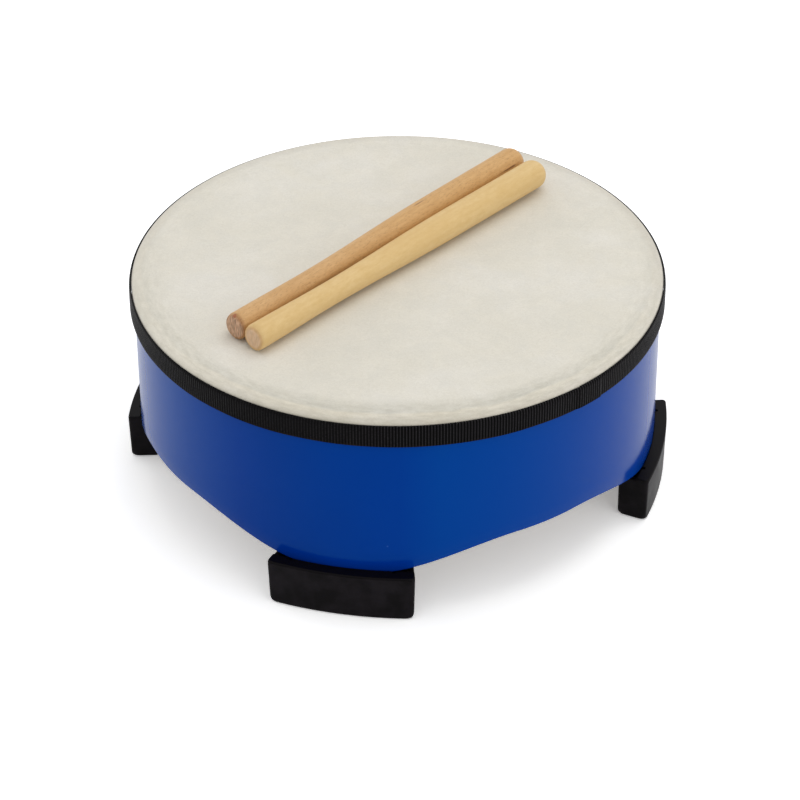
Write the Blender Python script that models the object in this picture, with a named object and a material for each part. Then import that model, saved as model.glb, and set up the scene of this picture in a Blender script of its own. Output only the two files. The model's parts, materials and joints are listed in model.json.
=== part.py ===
"""Floor drum: a blue plywood shell on four rubber feet, with a skin head and two wooden beaters.

Metres, +Z up. The origin is on the floor, on the drum's axis. A bearing is an angle round that axis,
in degrees, from the front (-Y) towards the right (+X).
"""

import math

import bmesh
import bpy
from mathutils import Matrix, Vector

# Whole drum
DRUM_HEIGHT = 0.1085  # floor to the top of the skin
CLEARANCE = 0.0003  # between pieces that bear on each other
RING_STEPS = 96  # facets round the shell, the hoop, the head and the tape
EDGE_STEPS = 2  # facets on a broken edge
CORNER_STEPS = 3  # facets on a larger rounding
SHARP_ANGLE = 35  # corners sharper than this keep a hard edge

# Shell: a bent plywood hoop whose lower edge is cut in four arches
SHELL_RADIUS = 0.127
SHELL_WALL = 0.0048
SHELL_EDGE_ROUND = 0.0008
ARCH_RISE = 0.0154  # from the lobe in a foot to the top of the arch
LOBE_HALF_ANGLE = 2.6
ARCH_HALF_START = 38.4  # bearing off a foot's middle where the arch is at full height

# Rim hoop inside the shell's top
HOOP_WALL = 0.0045
HOOP_HEIGHT = 0.020
HOOP_EDGE_ROUND = 0.0010

# Head: a skin drawn over the shell's edge
SKIN_THICKNESS = 0.0006
SKIN_EDGE_ROUND = 0.0018
SKIRT_LIFT = 0.0008  # skirt's lower edge above the tape's

# Tape round the skirt, curled in over the skin's edge
TAPE_WIDTH = 0.0111
TAPE_THICKNESS = 0.0005
TAPE_DROP = 0.0010  # tape's upper edge below the top of the skin
TAPE_CURL_HEIGHT = 0.0023

# Staples that hold the skirt to the shell
STAPLE_COUNT = 16
STAPLE_CROWN = 0.010
STAPLE_WIRE = 0.0004
STAPLE_WIRE_WIDTH = 0.0009
STAPLE_TIP_COVER = 0.0012  # wood left between a leg's tip and the inside of the shell

# Feet: moulded blocks with a groove for the shell and a tab behind it
FOOT_BEARINGS = {"front": 0.0, "right": 91.0, "back": 180.0, "left": 268.4}
FOOT_HEIGHT = 0.0243
FOOT_WIDTH = 0.0713  # along the lip's outer edge
FOOT_LIP = 0.0060  # how far the lip stands out from the shell at its middle
FOOT_LIP_FLARE = 0.0011  # how much further it stands out at its ends, being flatter than the shell
FOOT_SEAT_DEPTH = 0.0033
FOOT_DRAFT = 1.3
FOOT_END_ROUND = 0.0012  # lower edge of an end face
FOOT_CORNER_ROUND = 0.0040  # lower corners
FOOT_PLAN_ROUND = 0.0010
FOOT_SOLE_ROUND = 0.0010
FOOT_LIP_ROUND = 0.0006
TAB_WALL = 0.0034
TAB_HEIGHT = 0.021  # above the lip
TAB_ROUND = 0.008
LIP_MARK_RADIUS = 0.0009  # pin marks in the lip's top, one near each end
LIP_MARK_DEPTH = 0.0012
LIP_MARK_INSET = 0.0100
FOOT_MID_STATIONS = 4
END_STATIONS = (0.0, 0.3, 1.0)  # shares of the end face's rounding where the foot is drawn
CORNER_STATIONS = (0.55, 1.0)  # shares of the lower corner's rounding
TAB_STATIONS = (0.7, 1.0)  # shares of the tab's corner rounding

# Screws through the tabs, with a washer each
SCREW_SHANK_RADIUS = 0.0015
SCREW_HEAD_RADIUS = 0.0030
SCREW_HEAD_HEIGHT = 0.0021
SCREW_HEAD_SIDE = 0.0010  # height of the head's straight side
SCREW_SHOULDER = (0.7, 0.85)  # where the pan turns in, as shares of the head's radius and height
SCREW_TIP_LENGTH = 0.0012
SCREW_TIP_COVER = 0.0010  # wood left between a screw's tip and the outside of the shell
WASHER_RADIUS = 0.0045
WASHER_THICKNESS = 0.0008
SCREW_STEPS = 12
WASHER_STEPS = 16

# Beaters: two turned sticks side by side on the head
BEATER_LENGTH = 0.2032
BEATER_BUTT_RADIUS = 0.0064
BEATER_WAIST_CUT = 0.0006  # how much thinner the waist is than the butt, on the radius
BEATER_HEAD_SWELL = 0.0009  # how much thicker the head is than the butt, on the radius
BEATER_WAIST_AT = 0.052
BEATER_HEAD_FROM = 0.135
BEATER_TIP_ROUND = 0.0069
BEATER_BUTT_ROUND = 0.0010
BEATER_STEPS = 20
BEATER_TIP_STEPS = 5
BEATER_SIDE_STEPS = 14
PAIR_CENTRE = (-0.0045, 0.0094)
PAIR_HEADING = 59.3  # from +X towards +Y
PAIR_STAGGER = 0.0009  # the one behind lies this much further forward

# Sizes that follow from those above
shell_inside = SHELL_RADIUS - SHELL_WALL
seat_height = FOOT_HEIGHT - FOOT_SEAT_DEPTH
lobe_height = seat_height + CLEARANCE
shell_top = DRUM_HEIGHT - SKIN_THICKNESS - CLEARANCE
skirt_inside = SHELL_RADIUS + CLEARANCE
skirt_outside = skirt_inside + SKIN_THICKNESS
tape_top = DRUM_HEIGHT - TAPE_DROP
tape_bottom = tape_top - TAPE_WIDTH
staple_gap = CLEARANCE / 2
crown_inside = skirt_outside + staple_gap
crown_outside = crown_inside + STAPLE_WIRE
tape_inside = math.hypot(crown_outside, STAPLE_CROWN / 2) + staple_gap
staple_tip = shell_inside + STAPLE_TIP_COVER
staple_height = (tape_top + tape_bottom) / 2
groove_outside = SHELL_RADIUS + CLEARANCE
groove_inside = shell_inside - CLEARANCE
lip_outside = SHELL_RADIUS + FOOT_LIP
tab_inside = groove_inside - TAB_WALL
tab_top = FOOT_HEIGHT + TAB_HEIGHT
screw_height = FOOT_HEIGHT + TAB_HEIGHT / 2
screw_offset = math.degrees(FOOT_WIDTH / 4 / lip_outside)
washer_seat = math.sqrt(tab_inside**2 - WASHER_RADIUS**2) - CLEARANCE
screw_head_seat = washer_seat - WASHER_THICKNESS - CLEARANCE
screw_tip = SHELL_RADIUS - SCREW_TIP_COVER
screw_hole_radius = SCREW_SHANK_RADIUS + CLEARANCE


def clear_scene():
    for old in list(bpy.data.objects):
        bpy.data.objects.remove(old, do_unlink=True)


def finish_of(name, colour, roughness, metallic=0.0):
    material = bpy.data.materials.new(name)
    material.use_nodes = True
    shader = material.node_tree.nodes["Principled BSDF"]
    shader.inputs["Base Color"].default_value = (*colour, 1.0)
    shader.inputs["Roughness"].default_value = roughness
    shader.inputs["Metallic"].default_value = metallic
    return material


def add_object(name, mesh, material, parent=None, place=None):
    obj = bpy.data.objects.new(name, mesh)
    bpy.context.scene.collection.objects.link(obj)
    if material and not mesh.materials:
        mesh.materials.append(material)
    obj.parent = parent
    if place:
        obj.matrix_world = place
    return obj


def mesh_from(name, work):
    """A finished mesh from a bmesh, smooth but for its sharp corners."""
    bmesh.ops.recalc_face_normals(work, faces=work.faces)
    mesh = bpy.data.meshes.new(name)
    work.to_mesh(mesh)
    work.free()
    mesh.shade_smooth()
    mesh.set_sharp_from_angle(angle=math.radians(SHARP_ANGLE))
    return mesh


def polar(radius, bearing, height):
    angle = math.radians(bearing)
    return Vector((radius * math.sin(angle), -radius * math.cos(angle), height))


def facing_axis(bearing, radius, height):
    """A frame at a point of a wall: local +Z looks at the drum's axis, local +Y is up."""
    turn = Matrix.Rotation(math.radians(bearing), 4, "Z")
    tip = Matrix.Rotation(math.radians(-90), 4, "X")
    upright = Matrix.Rotation(math.radians(180), 4, "Z")
    return Matrix.Translation(polar(radius, bearing, height)) @ turn @ tip @ upright


def ease(share):
    """0 to 1 along a half cosine, held at its ends."""
    return (1 - math.cos(math.pi * min(max(share, 0.0), 1.0))) / 2


def quarter_round(radius, distance):
    """How far a quarter round of this radius has pulled in at a distance from the corner."""
    left = max(radius - distance, 0.0)
    return radius - math.sqrt(radius**2 - left**2)


def arc(centre, radius, start, end, steps):
    """Points on an arc in a profile, angles in degrees from the outward direction."""
    points = []
    for step in range(steps + 1):
        angle = math.radians(start + (end - start) * step / steps)
        points.append((centre[0] + radius * math.cos(angle), centre[1] + radius * math.sin(angle)))
    return points


def loft(name, loops, ring):
    """A solid through closed loops of points: joined end to end as a ring, or capped."""
    work = bmesh.new()
    rows = [[work.verts.new(point) for point in loop] for loop in loops]
    pairs = list(zip(rows, rows[1:]))
    if ring:
        pairs.append((rows[-1], rows[0]))
    else:
        work.faces.new(rows[0])
        work.faces.new(rows[-1])
    for first, second in pairs:
        for here in range(len(first)):
            work.faces.new((first[here - 1], first[here], second[here], second[here - 1]))
    return mesh_from(name, work)


def turned(name, profile, steps, closed, material, parent=None, place=None):
    """A turned solid. The profile is (radius, height) points, down the outer side."""
    mesh = bpy.data.meshes.new(name)
    points = [(radius, 0.0, height) for radius, height in profile]
    edges = [(at, at + 1) for at in range(len(points) - 1)]
    if closed:
        edges.append((len(points) - 1, 0))
    mesh.from_pydata(points, edges, [])
    obj = add_object(name, mesh, material, parent, place)
    screw = obj.modifiers.new("turn", "SCREW")
    screw.steps = steps
    screw.render_steps = steps
    screw.use_merge_vertices = True
    screw.merge_threshold = 1e-5
    screw.use_smooth_shade = True
    return obj


def cutter(name, work):
    """A hidden helper whose closed shapes are taken out of other pieces."""
    obj = add_object(name, mesh_from(name, work), None)
    obj.hide_render = True
    obj.display_type = "WIRE"
    return obj


def cut(obj, tool):
    modifier = obj.modifiers.new(tool.name, "BOOLEAN")
    modifier.operation = "DIFFERENCE"
    modifier.solver = "EXACT"
    modifier.object = tool


def shell_underside(bearing):
    """Height of the shell's lower edge: low in each foot, arched between them."""
    turns = [abs((bearing - foot + 180) % 360 - 180) for foot in FOOT_BEARINGS.values()]
    share = (min(turns) - LOBE_HALF_ANGLE) / (ARCH_HALF_START - LOBE_HALF_ANGLE)
    return lobe_height + ARCH_RISE * ease(share)


def make_shell(material, parent):
    corner = (SHELL_RADIUS - SHELL_EDGE_ROUND, shell_top - SHELL_EDGE_ROUND)
    upper = arc(corner, SHELL_EDGE_ROUND, 0, 90, EDGE_STEPS) + [(shell_inside, shell_top)]
    loops = []
    for step in range(RING_STEPS):
        bearing = 360 * step / RING_STEPS
        low = shell_underside(bearing)
        section = [(SHELL_RADIUS, low)] + upper + [(shell_inside, low)]
        loops.append([polar(radius, bearing, height) for radius, height in section])
    return add_object("shell", loft("shell", loops, ring=True), material, parent)


def make_rim_hoop(material, parent):
    outside = shell_inside - CLEARANCE
    inside = outside - HOOP_WALL
    bottom = shell_top - HOOP_HEIGHT
    corner = (inside + HOOP_EDGE_ROUND, bottom + HOOP_EDGE_ROUND)
    rounding = arc(corner, HOOP_EDGE_ROUND, 270, 180, EDGE_STEPS)
    profile = [(outside, shell_top), (outside, bottom)] + rounding + [(inside, shell_top)]
    return turned("rim_hoop", profile, RING_STEPS, True, material, parent)


def make_head(material, parent):
    corner = (skirt_outside - SKIN_EDGE_ROUND, DRUM_HEIGHT - SKIN_EDGE_ROUND)
    skirt_bottom = tape_bottom + SKIRT_LIFT
    outer = arc(corner, SKIN_EDGE_ROUND, 90, 0, CORNER_STEPS)
    inner = arc(corner, SKIN_EDGE_ROUND - SKIN_THICKNESS, 0, 90, CORNER_STEPS)
    profile = [(0.0, DRUM_HEIGHT)] + outer
    profile += [(skirt_outside, skirt_bottom), (skirt_inside, skirt_bottom)]
    profile += inner + [(0.0, DRUM_HEIGHT - SKIN_THICKNESS)]
    return turned("drum_head", profile, RING_STEPS, False, material, parent)


def make_tape(material, parent):
    curl_bottom = tape_top - TAPE_CURL_HEIGHT
    curl_inside = skirt_outside + CLEARANCE
    profile = [
        (curl_inside + TAPE_THICKNESS, tape_top),
        (tape_inside + TAPE_THICKNESS, curl_bottom),
        (tape_inside + TAPE_THICKNESS, tape_bottom),
        (tape_inside, tape_bottom),
        (tape_inside, curl_bottom),
        (curl_inside, tape_top),
    ]
    return turned("trim_tape", profile, RING_STEPS, True, material, parent)


def staple_bearings():
    return [360 * (number + 0.5) / STAPLE_COUNT for number in range(STAPLE_COUNT)]


def make_staples(material, parent):
    """U-shaped wires: the outline is drawn across the wall, then given the wire's width."""
    half = STAPLE_CROWN / 2
    inner = half - STAPLE_WIRE
    outline = [(-half, staple_tip), (-inner, staple_tip), (-inner, crown_inside)]
    outline += [(inner, crown_inside), (inner, staple_tip), (half, staple_tip)]
    outline += [(half, crown_outside), (-half, crown_outside)]
    edges = (-STAPLE_WIRE_WIDTH / 2, STAPLE_WIRE_WIDTH / 2)
    loops = [[(across, -out, rise) for across, out in outline] for rise in edges]
    mesh = loft("head_staple", loops, ring=False)
    lift = Matrix.Translation((0, 0, staple_height))
    for number, bearing in enumerate(staple_bearings(), 1):
        place = lift @ Matrix.Rotation(math.radians(bearing), 4, "Z")
        add_object(f"head_staple_{number:02d}", mesh, material, parent, place)


def make_staple_hole_cutter():
    """Square holes for the legs, through the skirt and blind in the shell."""
    work = bmesh.new()
    start = staple_tip - CLEARANCE
    length = crown_outside + CLEARANCE - start
    middle = (STAPLE_CROWN - STAPLE_WIRE) / 2
    size = (STAPLE_WIRE + 2 * CLEARANCE, length, STAPLE_WIRE_WIDTH + 2 * CLEARANCE)
    for bearing in staple_bearings():
        turn = Matrix.Rotation(math.radians(bearing), 4, "Z")
        for across in (-middle, middle):
            place = Matrix.Translation((across, -start - length / 2, staple_height))
            bmesh.ops.create_cube(work, size=1.0, matrix=turn @ place @ Matrix.Diagonal((*size, 1)))
    return cutter("staple_holes", work)


def foot_stations():
    """Places along a foot, as distances from its middle along the lip's outer edge."""
    half = FOOT_WIDTH / 2
    ends = {share * FOOT_END_ROUND for share in END_STATIONS}
    ends |= {share * FOOT_CORNER_ROUND for share in CORNER_STATIONS}
    ends |= {share * TAB_ROUND for share in TAB_STATIONS}
    reach = half - max(ends)
    middle = [reach * (2 * at / (FOOT_MID_STATIONS + 1) - 1) for at in range(1, FOOT_MID_STATIONS + 1)]
    outer = [half - inset for inset in ends]
    return sorted(middle + outer + [-place for place in outer])


def foot_section(from_end):
    """The foot's outline across the wall, at a distance from its end."""
    slope = math.tan(math.radians(FOOT_DRAFT))
    pull = quarter_round(FOOT_PLAN_ROUND, from_end)
    sole = quarter_round(FOOT_END_ROUND, from_end)
    top = tab_top - quarter_round(TAB_ROUND, from_end)
    from_middle = 1 - 2 * from_end / FOOT_WIDTH
    outside = lip_outside + FOOT_LIP_FLARE * from_middle**2 - pull
    foot_out = outside - slope * (FOOT_HEIGHT - sole)
    foot_in = tab_inside + pull
    near_corner = max(1 - from_end / FOOT_CORNER_ROUND, 0.0)
    rounding = FOOT_SOLE_ROUND + (FOOT_CORNER_ROUND - FOOT_SOLE_ROUND) * near_corner**2
    section = arc((foot_out - rounding, sole + rounding), rounding, 270, 360, CORNER_STEPS)
    lip_corner = (outside - FOOT_LIP_ROUND, FOOT_HEIGHT - FOOT_LIP_ROUND)
    section += arc(lip_corner, FOOT_LIP_ROUND, 0, 90, EDGE_STEPS)
    section += [(groove_outside, FOOT_HEIGHT), (groove_outside, seat_height)]
    section += [(groove_inside, seat_height), (groove_inside, top), (foot_in, top)]
    section += arc((foot_in + rounding, sole + rounding), rounding, 180, 270, CORNER_STEPS)
    return section


def make_feet(material, parent):
    half = FOOT_WIDTH / 2
    slope = math.tan(math.radians(FOOT_DRAFT))
    loops = []
    for place in foot_stations():
        loop = []
        for radius, height in foot_section(half - abs(place)):
            taper = 1 - slope * max(FOOT_HEIGHT - height, 0.0) / half
            loop.append(polar(radius, math.degrees(place * taper / lip_outside), height))
        loops.append(loop)
    mesh = loft("foot", loops, ring=False)
    feet = []
    for name, bearing in FOOT_BEARINGS.items():
        place = Matrix.Rotation(math.radians(bearing), 4, "Z")
        feet.append(add_object(f"foot_{name}", mesh, material, parent, place))
    return feet


def screw_bearings():
    """Name and bearing of each screw: two to a foot, at the quarters of its width."""
    places = []
    for name, bearing in FOOT_BEARINGS.items():
        places.append((f"{name}_1", bearing - screw_offset))
        places.append((f"{name}_2", bearing + screw_offset))
    return places


def add_rod(work, radius, steps, start, end):
    """A closed rod between two points."""
    along = end - start
    turn = along.to_track_quat("Z", "Y").to_matrix().to_4x4()
    place = Matrix.Translation((start + end) / 2) @ turn
    bmesh.ops.create_cone(
        work,
        cap_ends=True,
        segments=steps,
        radius1=radius,
        radius2=radius,
        depth=along.length,
        matrix=place,
    )


def make_screw_hole_cutter():
    """Clear holes through the tabs that go on, blind, into the shell."""
    work = bmesh.new()
    for _, bearing in screw_bearings():
        start = polar(tab_inside - SHELL_WALL, bearing, screw_height)
        end = polar(screw_tip + CLEARANCE, bearing, screw_height)
        add_rod(work, screw_hole_radius, SCREW_STEPS, start, end)
    return cutter("screw_holes", work)


def make_lip_mark_cutter():
    """Shallow pin marks in the top of each lip."""
    work = bmesh.new()
    radius = groove_outside + 2 * LIP_MARK_RADIUS
    offset = math.degrees((FOOT_WIDTH / 2 - LIP_MARK_INSET) / lip_outside)
    for bearing in FOOT_BEARINGS.values():
        for side in (-1, 1):
            start = polar(radius, bearing + side * offset, FOOT_HEIGHT - LIP_MARK_DEPTH)
            end = polar(radius, bearing + side * offset, FOOT_HEIGHT + LIP_MARK_DEPTH)
            add_rod(work, LIP_MARK_RADIUS, SCREW_STEPS, start, end)
    return cutter("lip_marks", work)


def make_screws(material, parent):
    """Pan-head screws: local zero is under the head, and the tip is at negative heights."""
    length = screw_tip - screw_head_seat
    shoulder = (SCREW_HEAD_RADIUS * SCREW_SHOULDER[0], SCREW_HEAD_HEIGHT * SCREW_SHOULDER[1])
    profile = [(0.0, SCREW_HEAD_HEIGHT), shoulder, (SCREW_HEAD_RADIUS, SCREW_HEAD_SIDE)]
    profile += [(SCREW_HEAD_RADIUS, 0.0), (SCREW_SHANK_RADIUS, 0.0)]
    profile += [(SCREW_SHANK_RADIUS, SCREW_TIP_LENGTH - length), (0.0, -length)]
    for name, bearing in screw_bearings():
        place = facing_axis(bearing, screw_head_seat, screw_height)
        turned(f"foot_screw_{name}", profile, SCREW_STEPS, False, material, parent, place)


def make_washers(material, parent):
    profile = [
        (WASHER_RADIUS, WASHER_THICKNESS),
        (WASHER_RADIUS, 0.0),
        (screw_hole_radius, 0.0),
        (screw_hole_radius, WASHER_THICKNESS),
    ]
    for name, bearing in screw_bearings():
        place = facing_axis(bearing, washer_seat, screw_height)
        turned(f"foot_washer_{name}", profile, WASHER_STEPS, True, material, parent, place)


def beater_radius(along):
    """Radius of a stick at a distance from its butt."""
    if along < BEATER_WAIST_AT:
        return BEATER_BUTT_RADIUS - BEATER_WAIST_CUT * ease(along / BEATER_WAIST_AT)
    share = ease((along - BEATER_WAIST_AT) / (BEATER_HEAD_FROM - BEATER_WAIST_AT))
    waist_radius = BEATER_BUTT_RADIUS - BEATER_WAIST_CUT
    return waist_radius + (BEATER_HEAD_SWELL + BEATER_WAIST_CUT) * share


def beater_profile():
    """From the rounded tip down to the flat butt at zero."""
    shoulder = BEATER_LENGTH - BEATER_TIP_ROUND
    profile = []
    for step in range(BEATER_TIP_STEPS):
        angle = math.radians(90 * step / BEATER_TIP_STEPS)
        along = shoulder + BEATER_TIP_ROUND * math.cos(angle)
        profile.append((beater_radius(shoulder) * math.sin(angle), along))
    for step in range(BEATER_SIDE_STEPS + 1):
        along = shoulder + (BEATER_BUTT_ROUND - shoulder) * step / BEATER_SIDE_STEPS
        profile.append((beater_radius(along), along))
    profile += [(BEATER_BUTT_RADIUS - BEATER_BUTT_ROUND, 0.0), (0.0, 0.0)]
    return profile


def make_beater(name, side, material):
    """A stick on the skin. Side +1 lies behind the pair's middle line, -1 in front of it."""
    lean = math.asin(BEATER_HEAD_SWELL / (BEATER_HEAD_FROM - BEATER_BUTT_ROUND))
    heading = math.radians(PAIR_HEADING)
    ahead = Vector((math.cos(heading), math.sin(heading), 0.0))
    across = Vector((-math.sin(heading), math.cos(heading), 0.0))
    butt = Vector((*PAIR_CENTRE, DRUM_HEIGHT + CLEARANCE + BEATER_BUTT_RADIUS))
    butt += ahead * (side * PAIR_STAGGER - BEATER_LENGTH) / 2
    butt += across * side * (BEATER_BUTT_RADIUS + CLEARANCE / 2)
    turn = Matrix.Rotation(heading + side * lean, 4, "Z")
    lay = Matrix.Rotation(math.radians(90) - lean, 4, "Y")
    place = Matrix.Translation(butt) @ turn @ lay
    return turned(name, beater_profile(), BEATER_STEPS, False, material, None, place)


def build():
    clear_scene()
    blue_lacquer = finish_of("blue_lacquer", (0.0, 0.04, 0.25), 0.3)
    bare_wood = finish_of("bare_wood", (0.55, 0.38, 0.20), 0.6)
    rawhide = finish_of("rawhide", (0.70, 0.66, 0.58), 0.6)
    woven_tape = finish_of("woven_tape", (0.012, 0.012, 0.013), 0.8)
    black_rubber = finish_of("black_rubber", (0.012, 0.011, 0.012), 0.55)
    zinc_steel = finish_of("zinc_steel", (0.6, 0.6, 0.58), 0.35, 1.0)
    beech = finish_of("beech", (0.55, 0.31, 0.14), 0.5)
    birch = finish_of("birch", (0.66, 0.48, 0.24), 0.5)

    drum = add_object("drum", None, None)
    shell = make_shell(blue_lacquer, drum)
    make_rim_hoop(bare_wood, drum)
    head = make_head(rawhide, drum)
    make_tape(woven_tape, drum)
    make_staples(zinc_steel, drum)
    feet = make_feet(black_rubber, drum)
    make_screws(zinc_steel, drum)
    make_washers(zinc_steel, drum)
    make_beater("beater_beech", 1, beech)
    make_beater("beater_birch", -1, birch)

    staple_holes = make_staple_hole_cutter()
    cut(shell, staple_holes)
    cut(head, staple_holes)
    screw_holes = make_screw_hole_cutter()
    cut(shell, screw_holes)
    lip_marks = make_lip_mark_cutter()
    for foot in feet:
        cut(foot, screw_holes)
        cut(foot, lip_marks)


build()
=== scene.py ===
"""Looks of the floor drum: a blue plywood shell on four rubber feet, with a skin head and two beaters.

Metres, +Z up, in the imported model's frame: the origin is on the floor, on the drum's axis. A bearing is an
angle round that axis, in degrees, from the front (-Y) towards the right (+X).
"""

import json
import math

import bmesh
import bpy
from mathutils import Matrix, Vector, noise


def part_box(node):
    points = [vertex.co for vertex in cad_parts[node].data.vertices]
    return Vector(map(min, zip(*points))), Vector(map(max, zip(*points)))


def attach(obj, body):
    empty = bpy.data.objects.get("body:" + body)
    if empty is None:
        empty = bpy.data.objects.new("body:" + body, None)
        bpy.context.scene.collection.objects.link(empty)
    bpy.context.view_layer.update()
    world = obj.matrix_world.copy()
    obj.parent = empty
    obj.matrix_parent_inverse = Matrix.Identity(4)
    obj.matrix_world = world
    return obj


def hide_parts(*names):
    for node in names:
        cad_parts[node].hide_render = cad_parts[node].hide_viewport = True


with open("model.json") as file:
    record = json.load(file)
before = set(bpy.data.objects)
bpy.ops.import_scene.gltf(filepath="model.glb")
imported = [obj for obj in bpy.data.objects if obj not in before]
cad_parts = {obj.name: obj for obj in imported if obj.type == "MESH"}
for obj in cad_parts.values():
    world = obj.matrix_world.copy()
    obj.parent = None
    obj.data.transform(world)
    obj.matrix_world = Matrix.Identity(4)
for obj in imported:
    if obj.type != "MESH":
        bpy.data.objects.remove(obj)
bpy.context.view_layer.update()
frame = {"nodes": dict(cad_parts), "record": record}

# Shell: the drum's body, one strip of plywood bent into a hoop and glued in a scarf joint behind. Its lower
# edge is sawn in four arches, with a lobe for each foot between them. It is sprayed with blue lacquer
# outside and over the sawn edge, and is left bare inside. The blue is painted a little lighter towards the
# left and
# right: painted light, where the lamps light the shell's sides.
shell_low, shell_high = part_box("shell")
SHELL_RADIUS = shell_high[0]
SHELL_TOP = shell_high[2]
LOBE_HEIGHT = shell_low[2]
SHELL_WALL = 0.0048
SHELL_INSIDE = SHELL_RADIUS - SHELL_WALL
SHELL_OUTER_ROUND = 0.0008
SHELL_INNER_ROUND = 0.0004
SHELL_WAVE = 0.00006
WAVES_ROUND = 2.2
WAVES_UP = 14
SHELL_COLUMNS = 480
SHELL_ROWS = 10
SHELL_OUTER_STEPS = 4
SHELL_INNER_STEPS = 2
SCARF_BEARING = 196
ARCH_RISE = 0.0154
LOBE_HALF_ANGLE = 2.6
ARCH_HALF_START = 38.4
HARD_CORNER = 40
SAME_POINT = 1e-6

BLUE = (0.0, 0.0300, 0.287)
BLUE_THINNER = (0.0, 0.0360, 0.332)
# The right and left blues and their spans are painted light: a lighter blue where the lamps light the sides.
BLUE_PAINTED_LIGHT_RIGHT = (0.0, 0.0450, 0.334)
BLUE_PAINTED_LIGHT_LEFT = (0.0, 0.0530, 0.350)
RIGHT_PAINTED_LIGHT_SPAN = (0.0275, 0.0450)
LEFT_PAINTED_LIGHT_SPAN = (-0.050, -0.090)
# A nib is a speck caught in the wet lacquer, which stands up a little and looks paler.
NIB = (0.028, 0.078, 0.405)
NIB_RADIUS = 0.0006
NIB_LIFT = 0.6
NIB_BEARING = 9.75
NIB_HEIGHT = 0.0383
LACQUER_TINT = (0.0, 0.88, 1.0)
PLY_PALE = (0.60, 0.43, 0.25)
PLY_DARK = (0.47, 0.31, 0.165)

foot_bearings = {}
for mount in frame["record"]["mounts"]:
    east, north, _ = mount["pos_m"]
    foot_bearings[mount["name"].removeprefix("sole_")] = math.degrees(math.atan2(east, -north))


def ring_point(radius, bearing, height):
    """The point at a radius, bearing and height round the drum's axis."""
    angle = math.radians(bearing)
    return (radius * math.sin(angle), -radius * math.cos(angle), height)


def ease(share):
    """0 to 1 along a half cosine, held at its ends."""
    return (1 - math.cos(math.pi * min(max(share, 0.0), 1.0))) / 2


def arc(centre, radius, start, end, steps):
    """Points on an arc in a section, angles in degrees from the outward direction."""
    points = []
    for step in range(steps + 1):
        angle = math.radians(start + (end - start) * step / steps)
        points.append((centre[0] + radius * math.cos(angle), centre[1] + radius * math.sin(angle)))
    return points


def between(first, last, steps):
    """Points that divide a straight run, without its two ends."""
    shares = [step / steps for step in range(1, steps)]
    return [tuple(a + (b - a) * share for a, b in zip(first, last)) for share in shares]


def loft(name, loops, along, joined=True, closed=True, finishes=None):
    """A skin of quads through sections drawn one after another, up their outer side.

    UVs are in metres, along the piece and round its section. A piece that isn't joined into a ring is
    capped, and a section that isn't closed begins and ends on the piece's own axis.
    """
    count = len(loops[0])
    rounds = []
    for loop in loops:
        run = [0.0]
        for here in range(count):
            run.append(run[-1] + (Vector(loop[(here + 1) % count]) - Vector(loop[here])).length)
        rounds.append(run)
    faces, corners, slots = [], [], []
    for column in range(len(loops) if joined else len(loops) - 1):
        after = (column + 1) % len(loops)
        for here in range(count if closed else count - 1):
            following = (here + 1) % count
            faces.append((
                column * count + here,
                after * count + here,
                after * count + following,
                column * count + following,
            ))
            corners += [along[column], rounds[column][here], along[column + 1], rounds[after][here]]
            corners += [along[column + 1], rounds[after][here + 1], along[column], rounds[column][here + 1]]
            slots.append(finishes[here] if finishes else 0)
    if not joined:
        last = (len(loops) - 1) * count
        for cap, sign in ((range(count), 1), (range(last + count - 1, last - 1, -1), -1)):
            faces.append(tuple(cap))
            for vert in cap:
                point = loops[vert // count][vert % count]
                corners += [along[-1] + sign * math.hypot(point[0], point[1]), point[2]]
            slots.append(0)
    mesh = bpy.data.meshes.new(name)
    mesh.from_pydata([point for loop in loops for point in loop], [], faces)
    mesh.uv_layers.new(name="metres").data.foreach_set("uv", corners)
    mesh.polygons.foreach_set("material_index", slots)
    if not closed:
        work = bmesh.new()
        work.from_mesh(mesh)
        bmesh.ops.remove_doubles(work, verts=work.verts, dist=SAME_POINT)
        work.to_mesh(mesh)
        work.free()
    mesh.shade_smooth()
    mesh.set_sharp_from_angle(angle=math.radians(HARD_CORNER))
    return mesh


def add_piece(name, mesh, finishes, body, stands_for, place=None):
    """Puts a mesh in the scene as a piece that rides on a body and stands for nodes of the frame."""
    piece = bpy.data.objects.new(name, mesh)
    bpy.context.scene.collection.objects.link(piece)
    for finish in finishes:
        mesh.materials.append(finish.material)
    if place:
        piece.matrix_world = place
    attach(piece, body)
    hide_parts(*stands_for)
    return piece


def add_node(tree, kind, inputs, **settings):
    """A new node, with each input set to a value or linked from a socket."""
    node = tree.nodes.new("ShaderNode" + kind)
    for key, value in settings.items():
        setattr(node, key, value)
    for socket, value in inputs.items():
        if isinstance(value, bpy.types.NodeSocket):
            tree.links.new(value, node.inputs[socket])
        else:
            node.inputs[socket].default_value = value
    return node


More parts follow.
